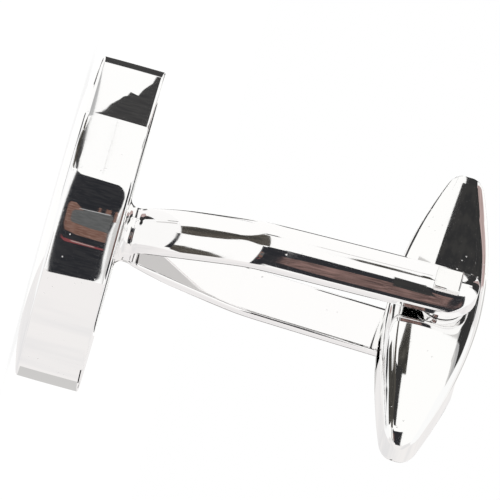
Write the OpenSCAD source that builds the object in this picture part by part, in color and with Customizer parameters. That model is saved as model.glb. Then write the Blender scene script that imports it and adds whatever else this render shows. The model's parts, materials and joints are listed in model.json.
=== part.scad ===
// Cufflink with a round polished head, a wishbone fork and a swivelling torpedo toggle.
// The front face lies on Z = 0 and the post runs up along +Z.
// The toggle is drawn open, crosswise along X, and it turns on a square pin along Y.
// All lengths are in millimetres.

/* [Head] */
// Diameter of the round head
head_d = 18; // [16:0.5:20]
// Thickness of the head, from the front face to the back face
head_t = 4; // [3:0.25:5]
// Diameter of the flat middle of the front face
head_flat_d = 11; // [9:0.5:12]
// Height of the softly domed border around the flat middle
crown_h = 0.5; // [0.3:0.05:0.7]
// Broken edge on the rims of the head
head_edge = 0.12; // [0.06:0.02:0.2]
// Depth of the socket in the back that the fork and its braze are seated in
socket_depth = 0.3; // [0.2:0.05:0.5]

/* [Fork] */
// Diameter of the round neck
neck_d = 3.04; // [2.96:0.04:3.2]
// Height of the round neck above the head's back
neck_h = 0.5; // [0.45:0.05:0.65]
// Height of the shoulders above the head's back
shoulder_h = 1.5; // [1.3:0.1:1.9]
// Width over the shoulders, where the quick widening above the neck ends
shoulder_w = 3.95; // [3.8:0.05:4.3]
// Breadth of an arm, along the toggle
arm_b = 3.04; // [2.88:0.04:3.08]
// Thickness of an arm at its edges
arm_t = 0.44; // [0.4:0.02:0.6]
// How far an arm's half-round outer face bulges over its edges
arm_crown = 0.85; // [0.7:0.05:0.9]
// Rounding of an arm's outer edges
arm_edge_r = 0.2; // [0.1:0.05:0.25]
// Clear width between the arms at the bend
arm_gap = 3.88; // [3.84:0.04:4.2]
// How far an arm leans out between the bend and the pivot
arm_flare = 0.41; // [0.36:0.05:0.5]
// Height of the crotch above the head's back
crotch_h = 0.75; // [0.7:0.05:0.9]
// Radius at the bottom of the crotch
crotch_r = 0.5; // [0.4:0.05:0.55]
// Height above the head's back at which the arms stop spreading
bend_h = 7.1; // [6.6:0.1:7.8]
// Height of the toggle's pivot above the head's back
pivot_h = 17.75; // [17:0.25:19]
// Distance from the pivot to the end of an arm
arm_reach = 1.75; // [1.7:0.05:2]
// Diameter of the round boss on the inside of each arm
boss_d = 2.8; // [2.6:0.05:2.85]

/* [Toggle] */
// Length of the toggle
toggle_l = 19; // [17:0.2:20]
// Thickness of the toggle in its middle, along the post
toggle_t = 5.1; // [4.8:0.1:5.4]
// Thickness to which the two long curves come down at the ends
toggle_end_t = 1.4; // [1.3:0.1:1.8]
// How full the two long curves are: 2 is nearly an arc, 3 is flatter in the middle
toggle_fullness = 1.9; // [1.7:0.1:3]
// How far the toggle's middle lies below the pin's axis, which leaves room for the spring
toggle_drop = 0.3; // [0.1:0.05:0.4]
// Width of the toggle in its middle, along the pin
toggle_w = 3.8; // [3.6:0.05:3.9]
// Width of the toggle at its ends
toggle_end_w = 2.2; // [2:0.1:2.5]
// Bulge of the toggle's flanks, which face along the pin
toggle_crown = 0.16; // [0.08:0.02:0.2]
// Rounding of the toggle's long edges
toggle_edge_r = 0.85; // [0.5:0.05:0.9]
// Rounding of the toggle's two ends
toggle_nose_r = 0.6; // [0.4:0.05:0.6]

/* [Pin and spring] */
// Side of the square pin
pin_s = 1.44; // [1.36:0.02:1.46]
// Diameter over the pin's broken corners, which the toggle turns on
pin_d = 1.92; // [1.88:0.02:1.94]
// Length of the pin over both riveted ends
pin_l = 7.7; // [7.6:0.1:8.2]
// Bevel around the ends of the pin
pin_bevel = 0.1; // [0.05:0.01:0.15]
// Thickness of the detent spring
spring_t = 0.25; // [0.2:0.01:0.3]
// Width of the detent spring
spring_w = 1.1; // [0.9:0.05:1.2]
// Length of the detent spring
spring_l = 8.6; // [8:0.1:9]
// Height of the bow in the detent spring
spring_bow = 0.35; // [0.25:0.05:0.45]

/* [Clearances] */
// Clearance around the pin's corners in the toggle's bore
bore_clear = 0.05; // [0.03:0.01:0.08]
// Clearance between the toggle and each boss
boss_clear = 0.05; // [0.03:0.01:0.1]
// Clearance on both sides of the braze, and around the pin in the arms
seat_clear = 0.01; // [0.005:0.005:0.02]
// Clearance of the spring to the pin and to its lips
spring_clear = 0.01; // [0.01:0.005:0.03]
// Side clearance of the spring in its slot
slot_clear = 0.1; // [0.05:0.01:0.15]
// Width of the braze that runs around the neck
braze_w = 0.5; // [0.3:0.05:0.6]

/* [Hidden] */
$fn = 96;
// Overrun of every cut
over = 0.5;

head_r = head_d / 2;
neck_r = neck_d / 2;
arm_half = arm_b / 2;
gap_half = arm_gap / 2;
toggle_half = toggle_l / 2;
back_z = head_t;
foot_z = back_z - socket_depth;
neck_z = back_z + neck_h;
// The braze reaches out to here, and the socket in the head is as wide
braze_r = neck_r + seat_clear + braze_w;
bend_z = back_z + bend_h;
pivot_z = back_z + pivot_h;
arm_end_z = pivot_z + arm_reach;

// Radius of the arc that runs from the flat middle of the face out to the rim
border_w = (head_d - head_flat_d) / 2;
border_r = arc_radius(border_w, crown_h);
border_steps = 10;

// The outer face of an arm is an arc across the arm
face_r = arc_radius(arm_half, arm_crown);
neck_face_r = neck_r * 1.01;
// The round neck has become two flat-sided arms at this height
blend_z = bend_z - bend_h / 2;
shoulder_z = back_z + shoulder_h;
shoulder_half = shoulder_w / 2;
spread_half = gap_half + arm_t + arm_crown;
// How softly the outer and inner lines turn at the bend and at the shoulders
bend_soft = arm_t / 3;
shoulder_soft = arm_t / 2;
// The rings are set closer over this reach on both sides of the bend
bend_reach = bend_h / 12;
edge_steps = 3;
face_steps = 7;
splay_steps = 17;
bend_steps = 6;
arm_steps = 3;
end_steps = 9;
end_turn = 84;
arm_end_r = arm_half;
arm_end_centre_z = arm_end_z - arm_end_r;
crotch_z = back_z + crotch_h + crotch_r;
gap_steps = 22;
crotch_steps = 7;
boss_in = toggle_w / 2 + boss_clear;

// Long curve of the toggle's flanks, seen along the post, and the arc across a flank
toggle_plan_r = arc_radius(toggle_half, (toggle_w - toggle_end_w) / 2);
flank_r = arc_radius(toggle_t / 2, toggle_crown);
toggle_stations = 17;
corner_steps = 5;
flank_steps = 3;
corner_share = 0.8;

bore_d = pin_d + 2 * bore_clear;
spring_r = arc_radius(spring_l / 2, spring_bow);
spring_top = pin_s / 2 + spring_clear;
slot_w = spring_w + 2 * slot_clear;
// The slot's mouth is shorter than the spring, so two lips hold the spring in
slot_mouth_l = spring_l - 2 * spring_t;
slot_l = spring_l + 2 * spring_t;
slot_roof = pin_s / 2 - spring_t;
lip_depth = spring_top + spring_bow + spring_t + spring_clear;

// Radius of an arc over half a chord, with the height that it rises
function arc_radius(half_chord, rise) = (pow(half_chord, 2) + pow(rise, 2)) / (2 * rise);

// Drop of such an arc at a distance from its crest
function arc_drop(radius, x) = radius - sqrt(pow(radius, 2) - pow(x, 2));

function mix(a, b, t) = a + (b - a) * t;
function ease(t) = let (c = max(0, min(1, t))) c * c * (3 - 2 * c);

// The smaller of two lines, with a soft turn between them
function soft_min(a, b, soft) = (a + b - sqrt(pow(a - b, 2) + pow(soft, 2))) / 2;

// How far the rounded edge draws the arm's outer face in, close to the arm's end
function end_inset(z) = z <= arm_end_z - arm_edge_r ? 0
    : arm_edge_r - sqrt(max(0, pow(arm_edge_r, 2) - pow(z - arm_end_z + arm_edge_r, 2)));

// Half the fork's width at the crest of the outer faces
function outer_half(z) = let (
        flank = mix(neck_r, shoulder_half, (z - neck_z) / (shoulder_z - neck_z)),
        slope = mix(shoulder_half, spread_half, (z - shoulder_z) / (bend_z - shoulder_z)),
        spread = soft_min(soft_min(flank, slope, shoulder_soft), spread_half + lean(z), bend_soft))
    mix(neck_r, max(neck_r, spread), ease((z - neck_z) / neck_h)) - end_inset(z);

// How far an arm has leaned out at a height
function lean(z) = arm_flare * (z - bend_z) / (pivot_z - bend_z);

// Half an arm's breadth
function breadth_half(z) = z <= arm_end_centre_z
    ? mix(neck_r, arm_half, ease((z - neck_z) / (blend_z - neck_z)))
    : sqrt(pow(arm_end_r, 2) - pow(z - arm_end_centre_z, 2));

function outer_face_r(z) = let (t = ease((z - neck_z) / (blend_z - neck_z)))
    1 / mix(1 / neck_face_r, 1 / face_r, t);

// One quarter of a crowned section, b by a: the rounded edge r, then the face's arc f
function crowned_quarter(b, a, f, r, rounds, arcs) = let (
        turn = asin((b - r) / (f - r)),
        edge_y = a - f + (f - r) * cos(turn))
    concat(
        [for (i = [0:rounds - 1])
            let (w = (90 - turn) * i / rounds)
            [b - r + r * cos(w), edge_y + r * sin(w)]],
        [for (i = [0:arcs])
            let (w = turn * (1 - i / arcs))
            [f * sin(w), a - f + f * cos(w)]]);

// One quarter of the fork's outline at a height
function fork_quarter(z) = let (b = breadth_half(z))
    crowned_quarter(b, outer_half(z), outer_face_r(z), min(arm_edge_r, b / 2), edge_steps, face_steps);

// A quarter, mirrored to a whole closed outline without doubled points
function whole_outline(q) = let (n = len(q)) concat(
    q,
    [for (i = [n - 2:-1:0]) [-q[i][0], q[i][1]]],
    [for (i = [0:n - 1]) [-q[i][0], -q[i][1]]],
    [for (i = [n - 2:-1:0]) [q[i][0], -q[i][1]]]);

fork_heights = concat(
    [neck_z - neck_h / 2],
    [for (i = [0:splay_steps]) mix(neck_z, bend_z - bend_reach, i / splay_steps)],
    [for (i = [1:bend_steps]) mix(bend_z - bend_reach, bend_z + bend_reach, i / bend_steps)],
    [for (i = [1:arm_steps]) mix(bend_z + bend_reach, arm_end_centre_z, i / arm_steps)],
    [for (i = [1:end_steps]) arm_end_centre_z + arm_end_r * sin(end_turn * i / end_steps)]);

// Half the clear width between the arms
function inner_half(z) = z < crotch_z ? sqrt(max(0, pow(crotch_r, 2) - pow(crotch_z - z, 2)))
    : soft_min(mix(crotch_r, gap_half, (z - crotch_z) / (bend_z - crotch_z)),
        gap_half + lean(z), bend_soft);

gap_heights = concat(
    [for (i = [0:crotch_steps - 1]) crotch_z - crotch_r * cos(90 * i / crotch_steps)],
    [for (i = [0:gap_steps]) mix(crotch_z, bend_z + bend_reach, i / gap_steps)],
    [arm_end_z + over]);

// Half the toggle's thickness and width before the ends are rounded
function toggle_thick_half(x) =
    toggle_t / 2 - (toggle_t - toggle_end_t) / 2 * pow(abs(x) / toggle_half, toggle_fullness);
function toggle_wide_half(x) = toggle_w / 2 - arc_drop(toggle_plan_r, x);
function nose_inset(x) = let (past = abs(x) - toggle_half + toggle_nose_r)
    past <= 0 ? 0 : toggle_nose_r - sqrt(max(0, pow(toggle_nose_r, 2) - pow(past, 2)));

function toggle_outline(x) = let (
        w = toggle_wide_half(x) - nose_inset(x),
        h = toggle_thick_half(x) - nose_inset(x),
        r = min(toggle_edge_r, corner_share * w, corner_share * h))
    whole_outline(crowned_quarter(h, w, flank_r, r, corner_steps, flank_steps));

// Joins closed outlines of equal length into one solid
module loft(rings) {
    n = len(rings[0]);
    m = len(rings);
    sides = [for (j = [0:m - 2]) for (i = [0:n - 1])
        let (a = j * n + i, b = j * n + (i + 1) % n)
        each [[a, a + n, b + n], [a, b + n, b]]];
    polyhedron(
        points = [for (ring = rings) each ring],
        faces = concat(sides, [[for (i = [0:n - 1]) i]], [[for (i = [n - 1:-1:0]) (m - 1) * n + i]]),
        convexity = 6);
}

// Round disc with a flat middle, a softly domed border and a socket for the fork
module head() {
    border = [for (i = [0:border_steps])
        let (x = border_w * i / border_steps)
        [head_flat_d / 2 + x - (i == border_steps ? head_edge : 0), arc_drop(border_r, x)]];
    color("gainsboro") difference() {
        rotate_extrude() polygon(concat(
            [[0, 0]],
            border,
            [[head_r, crown_h + head_edge],
             [head_r, head_t - head_edge],
             [head_r - head_edge, head_t],
             [0, head_t]]));
        translate([0, 0, foot_z]) cylinder(h = socket_depth + over, r = braze_r + seat_clear);
    }
}

// Ring of braze that fills the socket around the fork's foot and is drawn up the neck
module braze_ring() {
    color("silver") translate([0, 0, back_z]) rotate_extrude() difference() {
        translate([neck_r + seat_clear, -socket_depth]) square([braze_w, socket_depth + braze_w]);
        translate([braze_r, braze_w]) circle(r = braze_w - head_edge / 2);
    }
}

// Outside of the fork as one solid, from the round neck to the rounded arm ends
module fork_outside() {
    loft([for (z = fork_heights) [for (p = whole_outline(fork_quarter(z))) [p[0], p[1], z]]]);
}

// Space between the arms, from the crotch up past their ends
module fork_gap() {
    right = [for (z = gap_heights) [inner_half(z), z]];
    left = [for (i = [len(right) - 1:-1:1]) [-right[i][0], right[i][1]]];
    rotate([90, 0, 90])
        linear_extrude(height = arm_b + neck_d, center = true) polygon(concat(right, left));
}

// Round boss on the inside of one arm, which the toggle turns against
module arm_boss(side) {
    boss_l = gap_half + arm_flare + arm_t / 2 - boss_in;
    translate([0, side * (boss_in + boss_l / 2), pivot_z]) rotate([90, 0, 0])
        cylinder(h = boss_l, d = boss_d, center = true);
}

// One casting: the foot in its socket, the neck and two arms with square pin holes
module fork() {
    hole = pin_s + 2 * seat_clear;
    color("silver") difference() {
        union() {
            translate([0, 0, foot_z]) cylinder(h = neck_z - foot_z, r = neck_r);
            difference() {
                fork_outside();
                fork_gap();
            }
            for (side = [-1, 1]) arm_boss(side);
        }
        translate([0, 0, pivot_z]) cube([hole, pin_l, hole], center = true);
    }
}

// Square pin with broken corners, held still in the arms
module pivot_pin() {
    tip = pin_s - 2 * pin_bevel;
    color("whitesmoke") translate([0, 0, pivot_z]) intersection() {
        rotate([90, 0, 0]) cylinder(h = pin_l, d = pin_d, center = true);
        hull() {
            cube([pin_s, pin_l - 2 * pin_bevel, pin_s], center = true);
            cube([tip, pin_l, tip], center = true);
        }
    }
}

// Slot on the toggle's underside, with a lip at each end that the spring snaps behind
module spring_slot() {
    mouth = toggle_t / 2 + toggle_drop + over;
    translate([-slot_mouth_l / 2, -slot_w / 2, -mouth])
        cube([slot_mouth_l, slot_w, mouth - slot_roof]);
    translate([-slot_l / 2, -slot_w / 2, -lip_depth])
        cube([slot_l, slot_w, lip_depth - slot_roof]);
}

// Torpedo-shaped toggle with a round bore for the pin
module toggle() {
    color("gainsboro") translate([0, 0, pivot_z]) difference() {
        loft([for (i = [-toggle_stations:toggle_stations])
            let (x = toggle_half * sin(90 * i / toggle_stations))
            [for (p = toggle_outline(x)) [x, -p[1], p[0] - toggle_drop]]]);
        rotate([90, 0, 0]) cylinder(h = toggle_w + over, d = bore_d, center = true);
        spring_slot();
    }
}

// Bowed strip that presses on a flat of the pin and clicks at every quarter turn
module detent_spring() {
    color("slategray") translate([0, 0, pivot_z]) rotate([90, 0, 0])
        linear_extrude(height = spring_w, center = true) intersection() {
            translate([0, -spring_top - spring_r]) difference() {
                circle(r = spring_r, $fn = 4 * $fn);
                circle(r = spring_r - spring_t, $fn = 4 * $fn);
            }
            translate([-spring_l / 2, -lip_depth]) square([spring_l, lip_depth]);
        }
}

head();
braze_ring();
fork();
pivot_pin();
toggle();
detent_spring();
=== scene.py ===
import json
import math
import bmesh
import bpy
from mathutils import Matrix, Vector


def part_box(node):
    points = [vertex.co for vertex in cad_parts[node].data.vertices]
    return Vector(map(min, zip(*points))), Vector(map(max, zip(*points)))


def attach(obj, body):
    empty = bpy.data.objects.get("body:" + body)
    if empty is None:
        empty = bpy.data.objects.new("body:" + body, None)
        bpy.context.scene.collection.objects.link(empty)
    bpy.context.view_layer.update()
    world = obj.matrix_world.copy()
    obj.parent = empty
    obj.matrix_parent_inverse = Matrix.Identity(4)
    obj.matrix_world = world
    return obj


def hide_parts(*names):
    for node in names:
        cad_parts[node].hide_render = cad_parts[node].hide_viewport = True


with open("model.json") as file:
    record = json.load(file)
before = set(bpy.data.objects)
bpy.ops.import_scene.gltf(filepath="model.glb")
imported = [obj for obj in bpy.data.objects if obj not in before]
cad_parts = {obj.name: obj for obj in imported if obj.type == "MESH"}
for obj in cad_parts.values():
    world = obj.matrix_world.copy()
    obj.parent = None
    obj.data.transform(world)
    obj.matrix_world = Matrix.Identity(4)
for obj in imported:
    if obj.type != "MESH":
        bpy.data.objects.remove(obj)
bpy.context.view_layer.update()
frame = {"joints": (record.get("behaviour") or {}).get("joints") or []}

mm = 0.001
mergeGap = 0.0004        # mm, within which points count as one
thinEdge = 0.0002        # mm, below which an edge is dropped
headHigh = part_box("head")[1]
backZ = headHigh.z / mm
headR = headHigh.x / mm
pivotZ = frame["joints"][0]["pos_m"][2] / mm
print("frame loaded")


# Small helpers

def mix(a, b, t):
    return a + (b - a) * t


def ease(t):
    t = max(0.0, min(1.0, t))
    return t * t * (3 - 2 * t)


def softMin(a, b, soft):
    return (a + b - math.hypot(a - b, soft)) / 2


def arcRadius(halfChord, rise):
    return (halfChord ** 2 + rise ** 2) / (2 * rise)


def arcDrop(radius, x):
    return radius - math.sqrt(radius ** 2 - x ** 2)


def roundIn(past, radius):
    # how far a quarter round has drawn in, a distance past its start
    if past <= 0:
        return 0.0
    return radius - math.sqrt(max(0.0, radius ** 2 - past ** 2))


def crownedQuarter(b, a, faceR, edgeR, edgeSteps, faceSteps):
    # from the flat side at x = b over the rounded edge to the crowned face's crest at y = a;
    # where the section gets narrow, the edge takes half of it at most
    r = min(edgeR, b / 2)
    turn = math.asin(min(1.0, (b - r) / (faceR - r)))
    edgeY = a - faceR + (faceR - r) * math.cos(turn)
    points = []
    for i in range(edgeSteps):
        w = (math.pi / 2 - turn) * i / edgeSteps
        points.append((b - r + r * math.cos(w), edgeY + r * math.sin(w)))
    for i in range(faceSteps + 1):
        w = turn * (1 - i / faceSteps)
        points.append((faceR * math.sin(w), a - faceR + faceR * math.cos(w)))
    return points


def placed(name, mesh):
    piece = bpy.data.objects.new(name, mesh)
    bpy.context.scene.collection.objects.link(piece)
    return piece


def newPiece(name, verts, faces):
    mesh = bpy.data.meshes.new(name)
    mesh.from_pydata([(x * mm, y * mm, z * mm) for x, y, z in verts], [], faces)
    return placed(name, mesh)


def asPiece(name, bm):
    mesh = bpy.data.meshes.new(name)
    bm.to_mesh(mesh)
    bm.free()
    return placed(name, mesh)


def tidyMesh(piece):
    # merges doubles and turns every face outwards
    bm = bmesh.new()
    bm.from_mesh(piece.data)
    bmesh.ops.remove_doubles(bm, verts=bm.verts, dist=mergeGap * mm)
    bmesh.ops.dissolve_degenerate(bm, edges=bm.edges, dist=thinEdge * mm)
    bmesh.ops.recalc_face_normals(bm, faces=bm.faces)
    bm.to_mesh(piece.data)
    bm.free()
    piece.data.update()


def bake(piece):
    # the evaluated shape becomes the piece's own plain mesh
    bpy.context.view_layer.update()
    graph = bpy.context.evaluated_depsgraph_get()
    made = bpy.data.meshes.new_from_object(piece.evaluated_get(graph), depsgraph=graph)
    made.name = piece.name
    piece.modifiers.clear()
    piece.data = made
    return piece


def smoothShade(piece, angle=35):
    # smooth shading with the wide faces kept flat and the tight corners kept crisp
    tidyMesh(piece)
    for p in piece.data.polygons:
        p.use_smooth = True
    piece.data.set_sharp_from_angle(angle=math.radians(angle))
    weighted = piece.modifiers.new("weighted", "WEIGHTED_NORMAL")
    weighted.keep_sharp = True
    weighted.weight = 90
    bake(piece)


def combine(piece, other, operation="DIFFERENCE"):
    # takes another solid out of a piece, or adds it, and uses the other one up
    boolean = piece.modifiers.new("combine", "BOOLEAN")
    boolean.object = other
    boolean.operation = operation
    boolean.solver = "EXACT"
    bake(piece)
    bpy.data.objects.remove(other)


def boxCutter(low, high):
    bm = bmesh.new()
    bmesh.ops.create_cube(bm, size=1)
    centre = (Vector(low) + Vector(high)) / 2 * mm
    size = (Vector(high) - Vector(low)) * mm
    for v in bm.verts:
        v.co = Vector((v.co.x * size.x, v.co.y * size.y, v.co.z * size.z)) + centre
    return asPiece("boxCutter", bm)


def roundCutter(radius, halfLength, steps):
    # lies along the pin
    bm = bmesh.new()
    place = Matrix.Translation((0, 0, pivotZ * mm)) @ Matrix.Rotation(math.pi / 2, 4, "X")
    bmesh.ops.create_cone(bm, cap_ends=True, segments=steps, radius1=radius * mm, radius2=radius * mm,
                          depth=2 * halfLength * mm, matrix=place)
    return asPiece("roundCutter", bm)


# Camera, at the photo's viewing angle

cameraSpec = {
    "turn": 37.0,          # degrees from the pin's axis towards the toggle's end
    "roll": 15.5,          # how far the post runs down to the right
    "distance": 600.0,     # mm
    "frameWidth": 27.15,   # mm seen across the picture
    "lookAlong": 10.96,    # mm up the post
    "lookAcross": -0.93,   # mm, along the picture's downward direction
}


def makeCamera(spec):
    turn = math.radians(spec["turn"])
    roll = math.radians(spec["roll"])
    back = Vector((math.sin(turn), -math.cos(turn), 0))
    across = Vector((math.cos(turn), math.sin(turn), 0))      # downwards across the post
    along = Vector((0, 0, 1))
    right = math.cos(roll) * along - math.sin(roll) * across
    up = -math.sin(roll) * along - math.cos(roll) * across
    target = (spec["lookAlong"] * along + spec["lookAcross"] * across) * mm
    data = bpy.data.cameras.new("camera")
    data.sensor_width = 36
    data.lens = data.sensor_width * spec["distance"] / spec["frameWidth"]
    data.clip_start = 0.01
    data.clip_end = 10
    camera = bpy.data.objects.new("camera", data)
    camera.matrix_world = Matrix((
        (right.x, up.x, back.x, target.x + back.x * spec["distance"] * mm),
        (right.y, up.y, back.y, target.y + back.y * spec["distance"] * mm),
        (right.z, up.z, back.z, target.z + back.z * spec["distance"] * mm),
        (0, 0, 0, 1)))
    bpy.context.scene.collection.objects.link(camera)
    bpy.context.scene.camera = camera


makeCamera(cameraSpec)
print("camera placed")


# Shader helpers

def addNode(tree, kind, sockets=None, **settings):
    node = tree.nodes.new(kind)
    for key, value in settings.items():
        setattr(node, key, value)
    for key, value in (sockets or {}).items():
        socket = node.inputs[key]
        if isinstance(value, bpy.types.NodeSocket):
            tree.links.new(value, socket)
        else:
            socket.default_value = value
    return node


def startMaterial(name):
    material = bpy.data.materials.new(name)
    material.use_nodes = True
    material.node_tree.nodes.clear()
    return material, material.node_tree


plateSpec = {
    "hazeFrom": 0.35,          # noise levels between which the polish goes from its best to its worst
    "hazeTo": 0.7,
    "speckGroups": 350.0,      # scale of the places where specks gather
    "speckRough": 0.6,
}


def platedMaterial(spec):
    # mirror plate with fine waves from polishing, a scatter of tiny pits and a few dull specks
    material, tree = startMaterial(spec["name"])
    place = addNode(tree, "ShaderNodeTexCoord").outputs["Object"]
    wave = addNode(tree, "ShaderNodeTexNoise",
                   {"Vector": place, "Scale": spec["waveScale"], "Detail": 2.0, "Roughness": 0.4})
    pits = addNode(tree, "ShaderNodeTexVoronoi",
                   {"Vector": place, "Scale": spec["pitScale"], "Randomness": 1.0})
    pitShape = addNode(tree, "ShaderNodeMapRange",
                       {"Value": pits.outputs["Distance"], "From Min": 0.0, "From Max": spec["pitSize"],
                        "To Min": 0.0, "To Max": 1.0}, interpolation_type="SMOOTHSTEP")
    chance = addNode(tree, "ShaderNodeMath",
                     {0: pits.outputs["Color"], 1: spec["pitShare"]}, operation="GREATER_THAN")
    pitHeight = addNode(tree, "ShaderNodeMath",
                        {0: pitShape.outputs["Result"], 1: chance.outputs["Value"]}, operation="MAXIMUM")
    waveBump = addNode(tree, "ShaderNodeBump",
                       {"Height": wave.outputs["Fac"], "Strength": spec["waveStrength"],
                        "Distance": spec["waveDepth"] * mm})
    pitBump = addNode(tree, "ShaderNodeBump",
                      {"Height": pitHeight.outputs["Value"], "Strength": spec["pitStrength"],
                       "Distance": spec["pitDepth"] * mm, "Normal": waveBump.outputs["Normal"]})
    haze = addNode(tree, "ShaderNodeTexNoise",
                   {"Vector": place, "Scale": spec["hazeScale"], "Detail": 4.0})
    rough = addNode(tree, "ShaderNodeMapRange",
                    {"Value": haze.outputs["Fac"],
                     "From Min": plateSpec["hazeFrom"], "From Max": plateSpec["hazeTo"],
                     "To Min": spec["roughLow"], "To Max": spec["roughHigh"]})
    specks = addNode(tree, "ShaderNodeTexVoronoi",
                     {"Vector": place, "Scale": spec["speckScale"], "Randomness": 1.0})
    speckShape = addNode(tree, "ShaderNodeMath",
                         {0: specks.outputs["Distance"], 1: spec["speckSize"]}, operation="LESS_THAN")
    speckPlace = addNode(tree, "ShaderNodeTexNoise",
                         {"Vector": place, "Scale": plateSpec["speckGroups"], "Detail": 1.0})
    speckChance = addNode(tree, "ShaderNodeMath",
                          {0: speckPlace.outputs["Fac"], 1: spec["speckFrom"]}, operation="GREATER_THAN")
    speck = addNode(tree, "ShaderNodeMath",
                    {0: speckShape.outputs[0], 1: speckChance.outputs[0]}, operation="MULTIPLY")
    allRough = addNode(tree, "ShaderNodeMath",
                       {0: speck.outputs[0], 1: plateSpec["speckRough"], 2: rough.outputs["Result"]},
                       operation="MULTIPLY_ADD")
    shader = addNode(tree, "ShaderNodeBsdfPrincipled",
                     {"Base Color": (*spec["colour"], 1), "Metallic": 1.0,
                      "Roughness": allRough.outputs[0], "Normal": pitBump.outputs["Normal"]})
    addNode(tree, "ShaderNodeOutputMaterial", {"Surface": shader.outputs["BSDF"]})
    return material


headPlate = platedMaterial({
    "name": "headPlate", "colour": (0.965, 0.965, 0.965),
    "waveScale": 220.0, "waveStrength": 0.4, "waveDepth": 0.0015,
    "pitScale": 2200.0, "pitSize": 0.12, "pitShare": 0.03, "pitStrength": 0.5, "pitDepth": 0.01,
    "speckScale": 2600.0, "speckSize": 0.10, "speckFrom": 0.56,
    "hazeScale": 400.0, "roughLow": 0.015, "roughHigh": 0.035})
castPlate = platedMaterial({
    "name": "castPlate", "colour": (0.965, 0.96, 0.96),
    "waveScale": 600.0, "waveStrength": 0.5, "waveDepth": 0.004,
    "pitScale": 2600.0, "pitSize": 0.2, "pitShare": 0.12, "pitStrength": 0.6, "pitDepth": 0.012,
    "speckScale": 2600.0, "speckSize": 0.08, "speckFrom": 0.60,
    "hazeScale": 900.0, "roughLow": 0.03, "roughHigh": 0.07})
togglePlate = platedMaterial({
    "name": "togglePlate", "colour": (0.965, 0.965, 0.96),
    "waveScale": 300.0, "waveStrength": 0.4, "waveDepth": 0.002,
    "pitScale": 2400.0, "pitSize": 0.14, "pitShare": 0.06, "pitStrength": 0.9, "pitDepth": 0.02,
    "speckScale": 2600.0, "speckSize": 0.13, "speckFrom": 0.52,
    "hazeScale": 500.0, "roughLow": 0.02, "roughHigh": 0.045})
pinPlate = platedMaterial({
    "name": "pinPlate", "colour": (0.96, 0.955, 0.945),
    "waveScale": 900.0, "waveStrength": 0.5, "waveDepth": 0.004,
    "pitScale": 4000.0, "pitSize": 0.2, "pitShare": 0.1, "pitStrength": 0.5, "pitDepth": 0.006,
    "speckScale": 3000.0, "speckSize": 0.08, "speckFrom": 0.70,
    "hazeScale": 1500.0, "roughLow": 0.06, "roughHigh": 0.12})
brazePlate = platedMaterial({
    "name": "brazePlate", "colour": (0.955, 0.95, 0.945),
    "waveScale": 1100.0, "waveStrength": 0.8, "waveDepth": 0.012,
    "pitScale": 3000.0, "pitSize": 0.25, "pitShare": 0.15, "pitStrength": 0.6, "pitDepth": 0.012,
    "speckScale": 3000.0, "speckSize": 0.10, "speckFrom": 0.60,
    "hazeScale": 1200.0, "roughLow": 0.04, "roughHigh": 0.1})


steelSpec = {
    "name": "springSteel", "colour": (0.55, 0.56, 0.58),
    "lineScale": (300.0, 14000.0, 300.0), "lineStrength": 0.6, "lineDepth": 0.003,
    "roughLow": 0.22, "roughHigh": 0.4}


def rolledSteel(spec):
    # grey spring strip with the fine lines of rolling along it
    material, tree = startMaterial(spec["name"])
    place = addNode(tree, "ShaderNodeTexCoord").outputs["Object"]
    stretched = addNode(tree, "ShaderNodeMapping", {"Vector": place, "Scale": spec["lineScale"]})
    lines = addNode(tree, "ShaderNodeTexNoise",
                    {"Vector": stretched.outputs[0], "Scale": 1.0, "Detail": 3.0})
    bump = addNode(tree, "ShaderNodeBump",
                   {"Height": lines.outputs["Fac"], "Strength": spec["lineStrength"],
                    "Distance": spec["lineDepth"] * mm})
    rough = addNode(tree, "ShaderNodeMapRange",
                    {"Value": lines.outputs["Fac"],
                     "To Min": spec["roughLow"], "To Max": spec["roughHigh"]})
    shader = addNode(tree, "ShaderNodeBsdfPrincipled",
                     {"Base Color": (*spec["colour"], 1), "Metallic": 1.0,
                      "Roughness": rough.outputs[0], "Normal": bump.outputs[0]})
    addNode(tree, "ShaderNodeOutputMaterial", {"Surface": shader.outputs["BSDF"]})
    return material


springSteel = rolledSteel(steelSpec)
print("finishes made")


# Turning a profile round the post, for the head and the ring of braze

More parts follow.
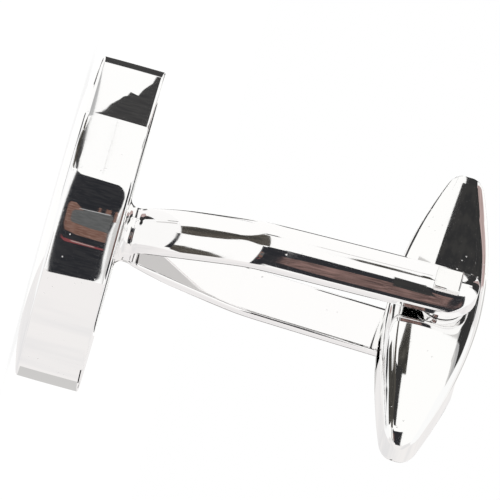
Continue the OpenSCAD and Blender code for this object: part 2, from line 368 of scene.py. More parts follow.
def turningTree():
    tree = bpy.data.node_groups.new("turnedRound", "GeometryNodeTree")
    tree.interface.new_socket("Profile", in_out="INPUT", socket_type="NodeSocketGeometry")
    tree.interface.new_socket("Steps Around", in_out="INPUT", socket_type="NodeSocketInt")
    tree.interface.new_socket("Merge Distance", in_out="INPUT", socket_type="NodeSocketFloat")
    tree.interface.new_socket("Finish", in_out="INPUT", socket_type="NodeSocketMaterial")
    tree.interface.new_socket("Turned", in_out="OUTPUT", socket_type="NodeSocketGeometry")
    source = addNode(tree, "NodeGroupInput")
    count = addNode(tree, "GeometryNodeAttributeDomainSize", {"Geometry": source.outputs["Profile"]})
    ringSteps = addNode(tree, "ShaderNodeMath",
                        {0: source.outputs["Steps Around"], 1: 1.0}, operation="ADD")
    grid = addNode(tree, "GeometryNodeMeshGrid",
                   {"Vertices X": ringSteps.outputs[0], "Vertices Y": count.outputs["Point Count"]})
    index = addNode(tree, "GeometryNodeInputIndex")
    share = addNode(tree, "ShaderNodeMath",
                    {0: index.outputs[0], 1: count.outputs["Point Count"]}, operation="DIVIDE")
    ring = addNode(tree, "ShaderNodeMath", {0: share.outputs[0]}, operation="FLOOR")
    start = addNode(tree, "ShaderNodeMath",
                    {0: ring.outputs[0], 1: count.outputs["Point Count"]}, operation="MULTIPLY")
    step = addNode(tree, "ShaderNodeMath",
                   {0: index.outputs[0], 1: start.outputs[0]}, operation="SUBTRACT")
    position = addNode(tree, "GeometryNodeInputPosition")
    sample = addNode(tree, "GeometryNodeSampleIndex",
                     {"Geometry": source.outputs["Profile"], "Index": step.outputs[0]},
                     data_type="FLOAT_VECTOR")
    tree.links.new(position.outputs[0], [s for s in sample.inputs if s.name == "Value" and s.enabled][0])
    point = addNode(tree, "ShaderNodeSeparateXYZ", {0: [s for s in sample.outputs if s.enabled][0]})
    part = addNode(tree, "ShaderNodeMath",
                   {0: ring.outputs[0], 1: source.outputs["Steps Around"]}, operation="DIVIDE")
    turn = addNode(tree, "ShaderNodeMath", {0: part.outputs[0], 1: 2 * math.pi}, operation="MULTIPLY")
    cosine = addNode(tree, "ShaderNodeMath", {0: turn.outputs[0]}, operation="COSINE")
    sine = addNode(tree, "ShaderNodeMath", {0: turn.outputs[0]}, operation="SINE")
    x = addNode(tree, "ShaderNodeMath", {0: point.outputs[0], 1: cosine.outputs[0]}, operation="MULTIPLY")
    y = addNode(tree, "ShaderNodeMath", {0: point.outputs[0], 1: sine.outputs[0]}, operation="MULTIPLY")
    place = addNode(tree, "ShaderNodeCombineXYZ", {0: x.outputs[0], 1: y.outputs[0], 2: point.outputs[2]})
    moved = addNode(tree, "GeometryNodeSetPosition",
                    {"Geometry": grid.outputs["Mesh"], "Position": place.outputs[0]})
    merged = addNode(tree, "GeometryNodeMergeByDistance",
                     {"Geometry": moved.outputs[0], "Distance": source.outputs["Merge Distance"]})
    real = addNode(tree, "GeometryNodeRealizeInstances", {"Geometry": merged.outputs[0]})
    coated = addNode(tree, "GeometryNodeSetMaterial",
                     {"Geometry": real.outputs[0], "Material": source.outputs["Finish"]})
    sink = addNode(tree, "NodeGroupOutput")
    tree.links.new(coated.outputs[0], sink.inputs[0])
    return tree


turnedRound = turningTree()


def turned(name, profile, steps, material):
    # profile is a list of (radius, height) in mm
    piece = newPiece(name, [(r, 0, z) for r, z in profile], [])
    modifier = piece.modifiers.new("turned", "NODES")
    modifier.node_group = turnedRound
    values = {"Steps Around": steps, "Merge Distance": mergeGap * mm, "Finish": material}
    for item in turnedRound.interface.items_tree:
        if item.in_out == "INPUT" and item.name in values:
            modifier[item.identifier] = values[item.name]
    return bake(piece)


def arcPoints(centre, radius, start, end, steps):
    return [(centre[0] + radius * math.cos(math.radians(mix(start, end, i / steps))),
             centre[1] + radius * math.sin(math.radians(mix(start, end, i / steps))))
            for i in range(steps + 1)]


# Head: flat middle, softly domed border, slightly barrelled side

headSpec = {
    "flatR": 5.5,
    "crownH": 0.5,
    "frontEdgeR": 0.12,     # rounding of the two rims
    "backEdgeR": 0.07,
    "frontRimShare": 0.9,   # of the front rim's rounding that lies along the side
    "frontFall": 0.013,     # how far the side falls back at its two edges
    "backFall": 0.009,
    "flatRingShare": 0.5,   # rings that break up the two flats
    "backRingShare": 0.6,
    "neckRingR": 1.6,
    "rimSteps": 6,
    "sideSteps": 40,
    "borderSteps": 40,
    "steps": 512,
}


def headSide(spec):
    # the heights between which the side lies
    return spec["crownH"] + spec["frontEdgeR"] * spec["frontRimShare"], backZ - spec["backEdgeR"]


def headProfile(spec):
    borderW = headR - spec["flatR"]
    borderR = arcRadius(borderW, spec["crownH"])
    tilt = math.degrees(math.asin(borderW / borderR))
    front, back = spec["frontEdgeR"], spec["backEdgeR"]
    frontX, backX = headR - spec["frontFall"], headR - spec["backFall"]
    sideLow, sideHigh = headSide(spec)
    points = [(0, 0), (spec["flatR"] * spec["flatRingShare"], 0)]
    for i in range(spec["borderSteps"] + 1):
        x = (borderW - spec["frontFall"] - front) * i / spec["borderSteps"]
        points.append((spec["flatR"] + x, arcDrop(borderR, x)))
    points += arcPoints((frontX - front, sideLow), front, -90 + tilt, 0, spec["rimSteps"])
    for i in range(1, spec["sideSteps"]):
        share = 2 * i / spec["sideSteps"] - 1
        fall = spec["backFall"] if share > 0 else spec["frontFall"]
        points.append((headR - fall * share ** 2, mix(sideLow, sideHigh, (share + 1) / 2)))
    points += arcPoints((backX - back, sideHigh), back, 0, 90, spec["rimSteps"])
    points += [(headR * spec["backRingShare"], backZ), (spec["neckRingR"], backZ), (0, backZ)]
    return points


headPiece = turned("polishedHead", headProfile(headSpec), headSpec["steps"], headPlate)
smoothShade(headPiece)
print("head turned")


# Fork: neck and two arms, lofted along the post

forkSpec = {
    "footDepth": 0.25,      # how far the neck's foot stands in the head's socket
    "neckR": 1.52, "neckH": 0.5,
    "roundness": 1.01,      # of the neck's radius, to which its two outer faces are bent
    "shoulderH": 1.5, "shoulderHalf": 1.975,
    "crotchH": 0.75, "crotchR": 0.5,
    "bendH": 7.1, "reach": 1.75,
    "armHalf": 1.52, "armT": 0.44, "armCrown": 0.85, "edgeR": 0.2,
    "gapHalf": 1.94, "flare": 0.41,
    "endDepth": 0.7,        # length over which the outer face rolls over at the arm's end
    "moundR": 0.95, "moundW": 0.45, "moundH": 0.008,     # the swelling round the riveted pin
    "shoulderSoft": 0.22, "bendSoft": 0.147,             # softness of the shoulder and the bend
    "innerEdgeR": 0.16,     # rounding of the edges beside the gap
    "innerShare": 0.4,      # of the half breadth that this rounding takes at most
    "innerRim": 0.05,       # strip beside that rounding which keeps the flat face flat
    "bossR": 1.4, "bossIn": 1.95, "bossEdge": 0.08, "bossSteps": 96, "bossEdgeSteps": 4,
    "holeHalf": 0.725, "holeReach": 6,
    "edgeFine": 16, "faceFine": 60,                      # steps of the section before it is evened out
    "sideSteps": 30, "innerSteps": 5, "turnWeight": 0.7,
    "bendHalf": 0.5,        # half the length in which the bend gets its own stations
    "neckSteps": 4, "crotchSteps": 14, "splaySteps": 80, "bendSteps": 24, "armSteps": 60, "endSteps": 30,
    "lastTurn": 88.5,       # degrees round the arm's end at which the last station lies
}


def forkStations(s):
    crotchZ = backZ + s["crotchH"] + s["crotchR"]
    neckZ = backZ + s["neckH"]
    bendZ = backZ + s["bendH"]
    roundZ = pivotZ + s["reach"] - s["armHalf"]
    lowZ = crotchZ - s["crotchR"]
    bendLow, bendHigh = bendZ - s["bendHalf"], bendZ + s["bendHalf"]
    heights = [backZ - s["footDepth"], backZ, neckZ]
    heights += [mix(neckZ, lowZ, i / s["neckSteps"]) for i in range(1, s["neckSteps"])]
    heights += [mix(lowZ, crotchZ, 1 - math.cos(math.pi / 2 * i / s["crotchSteps"]))
                for i in range(s["crotchSteps"])]
    heights += [mix(crotchZ, bendLow, i / s["splaySteps"]) for i in range(s["splaySteps"])]
    heights += [mix(bendLow, bendHigh, i / s["bendSteps"]) for i in range(s["bendSteps"])]
    heights += [mix(bendHigh, roundZ, i / s["armSteps"]) for i in range(s["armSteps"])]
    heights += [roundZ + s["armHalf"] * math.sin(math.radians(s["lastTurn"]) * i / s["endSteps"])
                for i in range(s["endSteps"] + 1)]
    return heights


def forkSection(s, z):
    # crest of the outer face, half breadth, face radius, half the gap and the inner edge's rounding
    neckZ = backZ + s["neckH"]
    shoulderZ = backZ + s["shoulderH"]
    bendZ = backZ + s["bendH"]
    endZ = pivotZ + s["reach"]
    blend = ease((z - neckZ) / (s["bendH"] / 2 - s["neckH"]))      # from round to crowned
    spreadHalf = s["gapHalf"] + s["armT"] + s["armCrown"]
    lean = s["flare"] * (z - bendZ) / (pivotZ - bendZ)
    flank = mix(s["neckR"], s["shoulderHalf"], (z - neckZ) / (shoulderZ - neckZ))
    slope = mix(s["shoulderHalf"], spreadHalf, (z - shoulderZ) / (bendZ - shoulderZ))
    spread = softMin(softMin(flank, slope, s["shoulderSoft"]), spreadHalf + lean, s["bendSoft"])
    a = mix(s["neckR"], max(s["neckR"], spread), ease((z - neckZ) / s["neckH"]))
    a -= roundIn(z - endZ + s["endDepth"], s["endDepth"]) * s["edgeR"] / s["endDepth"]
    centreZ = endZ - s["armHalf"]
    if z <= centreZ:
        b = mix(s["neckR"], s["armHalf"], blend)
    else:
        b = math.sqrt(max(0, s["armHalf"] ** 2 - (z - centreZ) ** 2))
    faceR = 1 / mix(1 / (s["neckR"] * s["roundness"]), 1 / arcRadius(s["armHalf"], s["armCrown"]), blend)
    crotchZ = backZ + s["crotchH"] + s["crotchR"]
    if z < crotchZ:
        g = math.sqrt(max(0, s["crotchR"] ** 2 - (crotchZ - z) ** 2))
    else:
        g = mix(s["crotchR"], s["gapHalf"], (z - crotchZ) / (bendZ - crotchZ))
        g = softMin(g, s["gapHalf"] + lean, s["bendSoft"])
    inner = s["innerEdgeR"] * ease((z - crotchZ + s["crotchR"]) / s["crotchR"])
    inner = min(inner, b * s["innerShare"])
    g += roundIn(z - endZ + inner, inner) if z > endZ - inner else 0
    return a, b, faceR, g, inner


def outlineAt(outline, y):
    # the place where an outline that rises from the side to the crest passes a height
    for i, ((x0, y0), (x1, y1)) in enumerate(zip(outline, outline[1:])):
        if y1 >= y:
            t = (y - y0) / max(y1 - y0, 1e-9)
            return i, (mix(x0, x1, t), y)
    return len(outline) - 2, outline[-1]


def evenSteps(points, steps, turnWeight):
    # the same line in equal steps of length and of turning together
    total, marks, last = 0.0, [0.0], None
    for (x0, y0), (x1, y1) in zip(points, points[1:]):
        heading = math.atan2(y1 - y0, x1 - x0)
        total += math.hypot(x1 - x0, y1 - y0)
        total += turnWeight * abs(heading - last) if last is not None else 0
        marks.append(total)
        last = heading
    made, k = [], 0
    for i in range(steps + 1):
        want = total * i / steps
        while k < len(marks) - 2 and marks[k + 1] < want:
            k += 1
        t = (want - marks[k]) / max(marks[k + 1] - marks[k], 1e-9)
        made.append((mix(points[k][0], points[k + 1][0], t), mix(points[k][1], points[k + 1][1], t)))
    return made


def armOutline(s, z):
    # half of one arm's section: inner face's edge, rounded inner corner, side, outer face's crest
    a, b, faceR, g, inner = forkSection(s, z)
    whole = [(b, 0)] + crownedQuarter(b, a, faceR, s["edgeR"], s["edgeFine"], s["faceFine"])
    k, start = outlineAt(whole, g + inner)
    corner = outlineAt(whole, g)[1]
    curve = [(corner[0] - inner - s["innerRim"], g)]
    for i in range(s["innerSteps"]):
        t = i / s["innerSteps"]
        curve.append((mix(mix(corner[0] - inner, corner[0], t), mix(corner[0], start[0], t), t),
                      mix(g, mix(g, g + inner, t), t)))
    return g, curve + evenSteps([start] + whole[k + 1:], s["sideSteps"], s["turnWeight"])


def mound(s, x, z):
    # how far the outer face swells beside the pin
    return s["moundH"] * ease((s["moundR"] + s["moundW"] - math.hypot(x, z - pivotZ)) / s["moundW"])


def forkMesh(s):
    verts, faces, rows = [], [], []
    for z in forkStations(s):
        g, half = armOutline(s, z)
        half = [(x, y + mound(s, x, z) if y > g + s["armT"] / 2 else y) for x, y in half]
        arm = half + [(-x, y) for x, y in half[-2::-1]]
        rows.append((g, len(verts)))
        verts += [(x, y, z) for x, y in arm] + [(-x, -y, z) for x, y in arm]
    n = len(arm)
    for (_, k0), (g1, k1) in zip(rows, rows[1:]):
        for side in (0, n):
            for i in range(n - 1):
                faces.append((k0 + side + i, k0 + side + i + 1, k1 + side + i + 1, k1 + side + i))
            if g1 > 0:
                faces.append((k0 + side + n - 1, k0 + side, k1 + side, k1 + side + n - 1))
    first, last = rows[0][1], rows[-1][1]
    faces.append(tuple(first + i for i in range(2 * n))[::-1])
    faces.append(tuple(last + i for i in range(n)))
    faces.append(tuple(last + n + i for i in range(n)))
    return verts, faces


def bossPiece(s, side):
    # the round boss on an arm's inner face, standing along the pin and rooted in the arm
    far = s["gapHalf"] + s["flare"] + s["armT"] / 2
    edge = s["bossEdge"]
    profile = [(0, s["bossIn"]), (s["bossR"] - edge, s["bossIn"])]
    profile += arcPoints((s["bossR"] - edge, s["bossIn"] + edge), edge, -90, 0, s["bossEdgeSteps"])
    profile += [(s["bossR"], far), (0, far)]
    boss = turned("boss", profile, s["bossSteps"], castPlate)
    boss.data.transform(Matrix.Translation((0, 0, pivotZ * mm))
                        @ Matrix.Rotation(-side * math.pi / 2, 4, "X"))
    return boss


forkPiece = newPiece("castFork", *forkMesh(forkSpec))
tidyMesh(forkPiece)
for side in (-1, 1):
    boss = bossPiece(forkSpec, side)
    tidyMesh(boss)
    combine(forkPiece, boss, "UNION")
hole, holeReach = forkSpec["holeHalf"], forkSpec["holeReach"]
combine(forkPiece, boxCutter((-hole, -holeReach, pivotZ - hole), (hole, holeReach, pivotZ + hole)))
forkPiece.data.materials.clear()
forkPiece.data.materials.append(castPlate)
smoothShade(forkPiece)
print("fork lofted")


# Toggle: a torpedo, lofted along its length

toggleSpec = {
    "half": 9.5, "thickHalf": 2.55, "endThickHalf": 0.7, "fullness": 1.9,
    "wideHalf": 1.9, "endWideHalf": 1.1,
    "drop": 0.3,            # how far the middle lies below the pin's axis
    "flankCrown": 0.16,     # bulge of the flanks that face along the pin
    "edgeR": 0.85, "edgeShare": 0.8,         # the long edges' rounding, and its most of the half width
    "noseR": 0.64, "noseDepth": 0.95,        # the ends' rounding, deeper along the toggle than across
    "stations": 90, "edgeSteps": 12, "faceSteps": 16,
    "boreR": 1.01, "boreHalf": 2.9, "boreSteps": 64,
    "slotHalf": 0.65, "mouthHalf": 4.05, "mouthDepth": 3,
    "grooveHalf": 4.55, "slotRoof": 0.47, "lipDepth": 1.34,
}


def lofted(rings):
    # closed rings of equal length, joined to one solid
    n = len(rings[0])
    faces = []
    for j in range(len(rings) - 1):
        for i in range(n):
            k = (i + 1) % n
            faces.append((j * n + i, j * n + k, (j + 1) * n + k, (j + 1) * n + i))
    faces.append(tuple(range(n)))
    faces.append(tuple((len(rings) - 1) * n + i for i in range(n)))
    return [point for ring in rings for point in ring], faces


def toggleMesh(s):
    planR = arcRadius(s["half"], s["wideHalf"] - s["endWideHalf"])
    flankR = arcRadius(s["thickHalf"], s["flankCrown"])
    rings = []
    for i in range(-s["stations"], s["stations"] + 1):
        x = s["half"] * math.sin(math.pi / 2 * i / s["stations"])
        nose = roundIn(abs(x) - s["half"] + s["noseDepth"], s["noseDepth"]) * s["noseR"] / s["noseDepth"]
        h = mix(s["thickHalf"], s["endThickHalf"], (abs(x) / s["half"]) ** s["fullness"]) - nose
        w = s["wideHalf"] - arcDrop(planR, x) - nose
        edgeR = min(s["edgeR"], w * s["edgeShare"])
        quarter = crownedQuarter(h, w, flankR, edgeR, s["edgeSteps"], s["faceSteps"])
        half = quarter + [(-p, q) for p, q in quarter[-2::-1]]
        ring = half + [(-p, -q) for p, q in half]
        rings.append([(x, q, pivotZ - s["drop"] + p) for p, q in ring])
    return lofted(rings)


togglePiece = newPiece("torpedoToggle", *toggleMesh(toggleSpec))
tidyMesh(togglePiece)
combine(togglePiece, roundCutter(toggleSpec["boreR"], toggleSpec["boreHalf"], toggleSpec["boreSteps"]))
for half, depth in (("mouthHalf", "mouthDepth"), ("grooveHalf", "lipDepth")):
    reach, across = toggleSpec[half], toggleSpec["slotHalf"]
    low, roof = pivotZ - toggleSpec[depth], pivotZ - toggleSpec["slotRoof"]
    combine(togglePiece, boxCutter((-reach, -across, low), (reach, across, roof)))
togglePiece.data.materials.clear()
togglePiece.data.materials.append(togglePlate)
smoothShade(togglePiece)
print("toggle lofted")


# Pin: square, with soft corners and riveted ends

pinSpec = {"half": 0.72, "halfL": 3.85, "edge": 0.09, "edgeSteps": 4}


def pinMesh(s):
    bm = bmesh.new()
    bmesh.ops.create_cube(bm, size=2)
    for v in bm.verts:
        v.co = Vector((v.co.x * s["half"], v.co.y * s["halfL"], v.co.z * s["half"] + pivotZ)) * mm
    bmesh.ops.bevel(bm, geom=bm.edges[:], offset=s["edge"] * mm, segments=s["edgeSteps"],
                    profile=0.5, affect="EDGES")
    return asPiece("squarePin", bm)


pinPiece = pinMesh(pinSpec)
pinPiece.data.materials.append(pinPlate)
smoothShade(pinPiece)
print("pin made")


# Detent spring: a bowed strip in the toggle's slot, pressed on the pin's lower flat

springSpec = {
    "half": 4.3, "bow": 0.35, "t": 0.25, "wideHalf": 0.55,
    "top": 0.73,            # how far its crest lies below the pin's axis
    "edge": 0.04, "stations": 40,
}


def springSection(s):
    # the strip's cross-section, with its four edges broken: (across, up from its underside)
    wide, flat = s["wideHalf"], s["wideHalf"] - s["edge"]
    top, side = s["t"], s["t"] - s["edge"]
    return [(wide, side), (flat, top), (-flat, top), (-wide, side),
            (-wide, s["edge"]), (-flat, 0), (flat, 0), (wide, s["edge"])]


def springMesh(s):
    radius = arcRadius(s["half"], s["bow"])
    reach = math.asin(s["half"] / radius)
    under, centreZ = radius - s["t"], pivotZ - s["top"] - radius
    rings = []
    for i in range(-s["stations"], s["stations"] + 1):
        turn = reach * i / s["stations"]
        rings.append([((under + up) * math.sin(turn), y, centreZ + (under + up) * math.cos(turn))
                      for y, up in springSection(s)])
    return lofted(rings)


springPiece = newPiece("detentStrip", *springMesh(springSpec))
springPiece.data.materials.append(springSteel)
smoothShade(springPiece)
print("spring bent")


# Ring of braze round the neck

brazeSpec = {
    "inR": 1.5, "w": 0.47,
    "topShare": 0.98, "hollowShare": 0.94,   # of the width: its height, and the radius of its hollow face
    "hollowSteps": 10, "steps": 192,
}


def brazeProfile(s):
    inR, outR, w = s["inR"], s["inR"] + s["w"], s["w"]
    hollow = arcPoints((outR, backZ + w), w * s["hollowShare"], 180, 270, s["hollowSteps"])
    return [(inR, backZ), (inR, backZ + w * s["topShare"])] + hollow + [(outR, backZ), (inR, backZ)]


brazePiece = turned("brazeRing", brazeProfile(brazeSpec), brazeSpec["steps"], brazePlate)
smoothShade(brazePiece)
print("braze made")


# Every piece goes on its body

for piece, node, body, slotName in (
        (headPiece, "head", "root", "polished_plate"),
        (brazePiece, "braze_ring", "root", "braze"),
        (forkPiece, "fork", "root", "cast_plate"),
        (pinPiece, "pivot_pin", "root", "pin_plate"),
        (togglePiece, "toggle", "toggle", "toggle_plate"),
        (springPiece, "detent_spring", "toggle", "spring_steel")):
    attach(piece, body)
    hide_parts(node)


# Stage: pale floor, white surroundings and a light tent that only the metal sees

stageSpec = {
    "floorHalf": 1500.0, "floorZ": -0.02, "floorGrey": 0.3, "floorGlow": 0.74,
    "tentR": 100.0, "tentLow": -120.0, "tentHigh": 170.0,
    "layer": 0.1,           # how much nearer each card hangs than the one before
    "grid": 2.0,            # degrees, past which a card is cut up to follow the tent's bend
    "headStep": 0.4,        # mm, the same for the cards that are placed on the head
    "shelfZ": 2.2,          # where the edge-on shelf would meet the head's side
    "shelfSteps": 20,
}


def floorMaterial(s):
    material, tree = startMaterial("paleFloor")
    diffuse = addNode(tree, "ShaderNodeBsdfDiffuse", {"Color": (*[s["floorGrey"]] * 3, 1)})
    glow = addNode(tree, "ShaderNodeEmission", {"Color": (1, 1, 1, 1), "Strength": s["floorGlow"]})
    both = addNode(tree, "ShaderNodeAddShader", {0: diffuse.outputs[0], 1: glow.outputs[0]})
    addNode(tree, "ShaderNodeOutputMaterial", {"Surface": both.outputs[0]})
    return material


def makeFloor(s):
    h, z = s["floorHalf"], s["floorZ"]
    floor = newPiece("floor", [(-h, -h, z), (h, -h, z), (h, h, z), (-h, h, z)], [(0, 1, 2, 3)])
    floor.data.materials.append(floorMaterial(s))
    floor.visible_glossy = False


makeFloor(stageSpec)
print("floor laid")


def glowMaterial(name, colour, strength=1.0):
    material, tree = startMaterial(name)
    glow = addNode(tree, "ShaderNodeEmission", {"Color": (*colour, 1), "Strength": strength})
    addNode(tree, "ShaderNodeOutputMaterial", {"Surface": glow.outputs[0]})
    material.cycles.emission_sampling = "NONE"
    return material


def mottledGlow(name, first, second, scale, low, high, upright):
    # a surface with uneven patches, seen out of focus
    material, tree = startMaterial(name)
    place = addNode(tree, "ShaderNodeTexCoord").outputs["Object"]
    stretched = addNode(tree, "ShaderNodeMapping",
                        {"Vector": place, "Scale": (scale, scale, scale * upright)})
    patches = addNode(tree, "ShaderNodeTexNoise",
                      {"Vector": stretched.outputs[0], "Scale": 1.0, "Detail": 4.0, "Roughness": 0.6})
    share = addNode(tree, "ShaderNodeMapRange",
                    {"Value": patches.outputs["Fac"], "From Min": low, "From Max": high},
                    interpolation_type="SMOOTHSTEP")
    colour = addNode(tree, "ShaderNodeMix", {"Factor": share.outputs[0]}, data_type="RGBA")
    inputs = [socket for socket in colour.inputs if socket.type == "RGBA"]
    inputs[0].default_value = (*first, 1)
    inputs[1].default_value = (*second, 1)
    result = [socket for socket in colour.outputs if socket.type == "RGBA"][0]
    glow = addNode(tree, "ShaderNodeEmission", {"Color": result, "Strength": 1.0})
    addNode(tree, "ShaderNodeOutputMaterial", {"Surface": glow.outputs[0]})
    material.cycles.emission_sampling = "NONE"
    return material


tones = {
    "white": glowMaterial("tentWhite", (1.0, 0.995, 0.985), 1.03),
    "mist": glowMaterial("tentMist", (0.62, 0.61, 0.60)),
    "dim": glowMaterial("tentDim", (0.45, 0.45, 0.45)),
    "red": glowMaterial("tentRed", (0.22, 0.06, 0.065)),
}
# two colours, the scale of their patches, the noise levels between which one turns into the other,
# and how low and wide the patches are
for tone, first, second, scale, low, high, upright in (
        ("pale", (0.80, 0.79, 0.795), (0.91, 0.885, 0.875), 14.0, 0.35, 0.6, 1.0),
        ("blush", (0.40, 0.30, 0.28), (0.56, 0.43, 0.42), 60.0, 0.4, 0.6, 1.0),
        ("wood", (0.16, 0.085, 0.065), (0.26, 0.16, 0.13), 900.0, 0.4, 0.65, 1.0),
        ("umber", (0.035, 0.026, 0.026), (0.30, 0.19, 0.17), 120.0, 0.3, 0.68, 12.0),
        ("slate", (0.10, 0.102, 0.102), (0.125, 0.127, 0.127), 700.0, 0.4, 0.6, 1.0),
        ("shade", (0.065, 0.058, 0.05), (0.11, 0.10, 0.085), 300.0, 0.4, 0.65, 1.0),
        ("dusk", (0.042, 0.040, 0.036), (0.085, 0.080, 0.070), 300.0, 0.4, 0.65, 1.0),
        ("charcoal", (0.045, 0.044, 0.045), (0.06, 0.059, 0.058), 500.0, 0.4, 0.6, 1.0),
        ("night", (0.030, 0.030, 0.031), (0.042, 0.041, 0.040), 300.0, 0.4, 0.6, 1.0),
        ("ink", (0.022, 0.023, 0.027), (0.034, 0.034, 0.037), 500.0, 0.4, 0.6, 1.0)):
    tones[tone] = mottledGlow("tent" + tone.capitalize(), first, second, scale, low, high, upright)
tentParts = []


def hang(tone, bm):
    # a card that only reflections see
    part = asPiece("card" + str(len(tentParts) + 1), bm)
    part.data.materials.append(tones[tone])
    part.visible_camera = False
    part.visible_diffuse = False
    part.visible_shadow = False
    part.visible_transmission = False
    tentParts.append(part)


def card(tone, shape, wall=stageSpec["tentR"]):
    # a card bent round the post; shape is a list of (degrees from -Y towards +X, height in mm)
    s = stageSpec
    radius = wall - s["layer"] * (len(tentParts) + 1)
    bm = bmesh.new()
    face = bm.faces.new([bm.verts.new((a, z, 0)) for a, z in shape])
    bmesh.ops.triangulate(bm, faces=[face])
    while True:
        wide = [e for e in bm.edges if abs(e.verts[0].co.x - e.verts[1].co.x) > s["grid"]]
        if not wide:
            break
        bmesh.ops.subdivide_edges(bm, edges=wide, cuts=1)
        bmesh.ops.triangulate(bm, faces=[f for f in bm.faces if len(f.verts) > 3])
    for v in bm.verts:
        turn = math.radians(v.co.x)
        v.co = Vector((math.sin(turn) * radius, -math.cos(turn) * radius, v.co.y)) * mm
    hang(tone, bm)


def band(tone, start, end, low, high, wall=stageSpec["tentR"]):
    # an upright card with straight edges
    card(tone, [(start, low), (end, low), (end, high), (start, high)], wall)


def flag(tone, y, shape):
    # a small flat card in front of the toggle; shape is a list of (x, z) in mm
    bm = bmesh.new()
    bm.faces.new([bm.verts.new(Vector((x, y, z)) * mm) for x, z in shape])
    hang(tone, bm)


def shelf(tone, start, end, near, far):
    # a sector that lies along the camera's line of sight past the head, so edge-on to it
    s = stageSpec
    fall = (cameraSpec["lookAlong"] - s["shelfZ"]) / cameraSpec["distance"]
    bm = bmesh.new()
    rims = []
    turns = [math.radians(mix(start, end, i / s["shelfSteps"])) for i in range(s["shelfSteps"] + 1)]
    for radius in (near, far):
        z = s["shelfZ"] - fall * (radius - headR)
        rims.append([bm.verts.new(Vector((math.sin(w) * radius, -math.cos(w) * radius, z)) * mm)
                     for w in turns])
    for i in range(s["shelfSteps"]):
        bm.faces.new((rims[0][i], rims[0][i + 1], rims[1][i + 1], rims[1][i]))
    hang(tone, bm)


def onHead(across, height):
    # where the tent shows at a place on the head's side: mm down across it, mm up from its front
    spec = headSpec
    turn = math.asin(across / headR)
    radius = stageSpec["tentR"]
    angle = cameraSpec["turn"] + math.degrees(2 * turn - math.asin(across / radius))
    path = math.sqrt(radius ** 2 - across ** 2) - headR * math.cos(turn)
    reach = cameraSpec["distance"] - headR * math.cos(turn)
    eye = cameraSpec["lookAlong"]
    sideLow, sideHigh = headSide(spec)
    half = (sideHigh - sideLow) / 2
    share = (height - sideLow - half) / half
    slope = 2 * share * (spec["backFall"] if share > 0 else spec["frontFall"]) / half
    return angle, eye + (height - eye) * (reach + path) / reach + 2 * slope * path * math.cos(turn)


def headCard(tone, shape):
    # a card placed by where its reflection falls on the head's side, with its edges followed closely
    step = stageSpec["headStep"]
    points = []
    for (a0, h0), (a1, h1) in zip(shape, shape[1:] + shape[:1]):
        steps = max(1, int(abs(a1 - a0) / step), int(abs(h1 - h0) / step))
        points += [onHead(mix(a0, a1, i / steps), mix(h0, h1, i / steps)) for i in range(steps)]
    card(tone, points)


def headSurroundings():
    # level with the head, by where they show on its side: dark behind it, a jagged dark wedge,
    # a line under the white, and a dark room with a grey window in a wooden frame
    band("charcoal", -130, -107, -2.2, 4.4)
    headCard("charcoal", [(-8.66, 3.95), (-8.64, 3.6), (-8.2, 3.5), (-7.7, 3.1), (-7.36, 2.95),
                          (-7.4, 2.7), (-7.44, 2.5), (-7.2, 2.4), (-7.1, 2.2), (-6.9, 2.05),
                          (-6.7, 1.85), (-6.5, 1.65), (-6.2, 1.5), (-5.98, 1.3), (-5.85, 0.98),
                          (-5.83, 3.95)])
    card("dim", [(-105, -2.0), (-38, -2.5), (-36, -3.4), (-105, -3.0)])
    headCard("charcoal", [(-5.75, 0.9), (-5.1, 0.83), (-4.65, 0.86), (-3.7, 0.9), (-3.2, 0.88),
                          (-2.6, 0.92), (-2.7, 0.8), (-3.1, 0.68), (-3.4, 0.6), (-4.6, 0.58),
                          (-4.9, 0.72), (-5.2, 0.78)])
    headCard("ink", [(-2.6, 0.9), (-2.45, 1.15), (-2.4, 3.3), (-2.3, 3.5), (-2.1, 3.68), (-1.8, 3.76),
                     (-1.3, 3.74), (-0.7, 3.62), (0.3, 3.48), (1.6, 3.5), (2.4, 3.6), (2.75, 3.55),
                     (2.95, 3.35), (3.02, 2.3), (3.1, 0.84), (2.5, 0.74), (1.2, 0.7), (-0.6, 0.74),
                     (-1.6, 0.8)])
    headCard("wood", [(-0.9, 1.05), (-0.7, 0.95), (0.3, 0.98), (0.65, 1.1), (0.78, 1.8), (0.8, 3.4),
                      (0.3, 3.38), (0.2, 1.3), (-0.5, 1.2), (-0.9, 1.35)])
    headCard("wood", [(-0.95, 2.6), (-0.7, 2.6), (-0.7, 2.72), (-0.95, 2.72)])
    headCard("wood", [(-0.98, 3.0), (-0.68, 3.0), (-0.68, 3.28), (-0.98, 3.28)])
    headCard("wood", [(-0.98, 3.5), (-0.4, 3.5), (-0.4, 3.66), (-0.98, 3.66)])
    headCard("slate", [(-0.52, 1.38), (-0.66, 2.3), (-0.7, 3.36), (-0.6, 3.48), (0.25, 3.36), (0.26, 2.4),
                       (0.16, 1.36), (0.0, 1.26), (-0.4, 1.26)])
    headCard("dim", [(-0.66, 1.6), (-0.74, 3.3), (-0.7, 3.3), (-0.62, 1.6)])
    headCard("red", [(0.95, 1.0), (1.1, 1.15), (1.14, 3.4), (1.22, 3.4), (1.27, 1.3), (1.14, 1.05)])
    headCard("blush", [(1.13, 1.6), (1.15, 2.9), (1.19, 2.9), (1.19, 1.6)])
    card("mist", [(8, 4.9), (20, 4.6), (37, 4.1), (60, 4.2), (74, 4.4), (74, 5.2), (8, 5.2)])


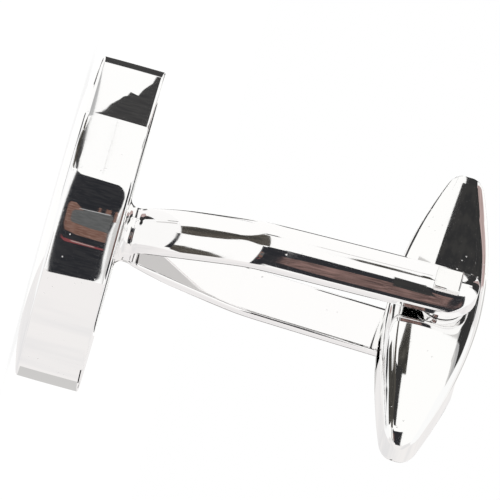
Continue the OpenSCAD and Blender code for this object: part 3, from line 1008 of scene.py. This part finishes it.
def armSurroundings():
    # level with the arms: the same dark room with its wooden door, and a near white wall that
    # hides the wedge from the toggle
    card("ink", [(2.5, 5.2), (4, 9), (7, 13), (11, 18), (9, 22), (5, 23.5), (80, 23.5), (80, 19.5),
                 (71, 19.5), (70, 12), (67, 5.2)])
    card("umber", [(27, 5.2), (24, 8), (22, 12), (24, 19), (60, 19), (58, 12), (54, 8), (46, 5.2)])
    band("white", -105, -41, 7, 17, wall=30.0)
    band("ink", 5, 63, 8.7, 10.9, wall=30.0)
    card("mist", [(-43, 9), (-40.5, 9), (-39.5, 16), (-42, 16)])


def lowSurroundings():
    # below the head's level: the dark under the table, which the splayed arms look down to
    card("shade", [(-39, -3.4), (4, -3.4), (4, -7), (1, -13), (-3, -20), (-4, -25), (3, -29), (6, -33),
                   (2, -39), (-18, -39), (-25, -35), (-29, -31), (-25, -28), (-21, -24), (-25, -17),
                   (-31, -10)])
    card("shade", [(73, -13), (66, -16), (57, -21), (48, -27), (50, -36), (66, -36), (74, -20)])
    shelf("shade", -38, 3, 62, 98)


def toggleSurroundings(low):
    # level with the toggle: a dark window on the left, near cards that only its upper half sees,
    # the dark above the horizon behind it, and a reddish edge beside the window
    card("night", [(-59, 21.5), (-42.5, 18), (-41, 18), (-41, 38), (-60, 38)])
    card("night", [(-60.3, 38), (-45, 38), (-45, 65), (-64, 65), (-61.5, 50)])
    card("night", [(-64, 65), (-45, 65), (-45, 150), (-75, 150), (-69, 90)])
    card("mist", [(-45, 26.9), (-27, 27), (-20.5, 33), (-20.5, 45), (-23, 60), (-30, 76), (-56, 76),
                  (-60, 50)], wall=29.5)
    card("dim", [(-45, 26.7), (-27, 27), (-23.5, 32), (-23.5, 45), (-26, 58), (-32, 72), (-56, 76),
                 (-60, 50)], wall=29.0)
    card("night", [(-46, 26.3), (-31, 27), (-25.5, 28), (-25.7, 32), (-27.3, 40), (-30, 50), (-34, 60),
                   (-40, 68), (-54, 68), (-58, 50), (-57, 34), (-50, 28)], wall=28.0)
    card("night", [(-140, 22.7), (-57, 22.3), (-59, 35), (-66, 38), (-140, 38)])
    card("blush", [(-60, 35), (-61.5, 50), (-64, 65), (-69, 90), (-75, 125), (-105, 125), (-98, 85),
                   (-82, 52), (-66, 36)])

    # the dark column on the right of the toggle
    flag("night", -10, [(0.5, 18.5), (0.9, 20.1), (3, 20.4), (5.6, 20.85), (5.9, 21.0), (5.7, 20.4),
                        (5.1, 18.5)])
    card("dusk", [(-31.3, 11.7), (-31.3, 14.2), (-22.5, 17.6), (-22.5, 11.5), (-26, 11)])
    card("dusk", [(-24, -3.4), (-12.5, -3.4), (-12.5, low), (-40, low), (-32, -62), (-21, -45),
                  (-21, -10)])


def rimSurroundings(low, high):
    # thin darks far behind, which show along the outlines
    band("charcoal", -147, -138, 5.2, 20.5)
    band("charcoal", -147, -117, 11, 20.5)
    card("charcoal", [(-128, -14), (-114, -16), (-112, -38), (-103, -56), (-103, -70), (-112, -70),
                      (-124, -52)])
    card("pale", [(-75, 128), (-60, high), (-147, high), (-140, 130), (-105, 126)])
    card("mist", [(-147, 66), (-134, 66), (-122, 92), (-122, 112), (-147, 112)])
    card("mist", [(-35.6, 30), (-31, 30), (-31, 56), (-34.6, 56)])
    card("charcoal", [(-140, -68), (-128, -72), (-112, -100), (-112, low), (-140, low)])


def backSurroundings():
    # behind the part: darker things that its back reflects
    band("mist", 172, 213, -3, 4.6)
    band("night", 152, 174, 5.2, 20)
    card("dusk", [(188, 21), (213, 24), (213, 35), (196, 35)])


def makeTent(s):
    low, high = s["tentLow"], s["tentHigh"]
    band("white", -147, 74, low, high)       # the wall: white to the left of the camera
    band("pale", 74, 213, low, high)         # and pale to its right and behind
    headSurroundings()
    armSurroundings()
    lowSurroundings()
    toggleSurroundings(low)
    rimSurroundings(low, high)
    backSurroundings()


makeTent(stageSpec)
print("light tent made")

world = bpy.data.worlds.new("studio")
bpy.context.scene.world = world
world.use_nodes = True
world.node_tree.nodes["Background"].inputs["Color"].default_value = (1, 1, 1, 1)
world.node_tree.nodes["Background"].inputs["Strength"].default_value = 1.0

bpy.context.scene.view_settings.view_transform = "Standard"
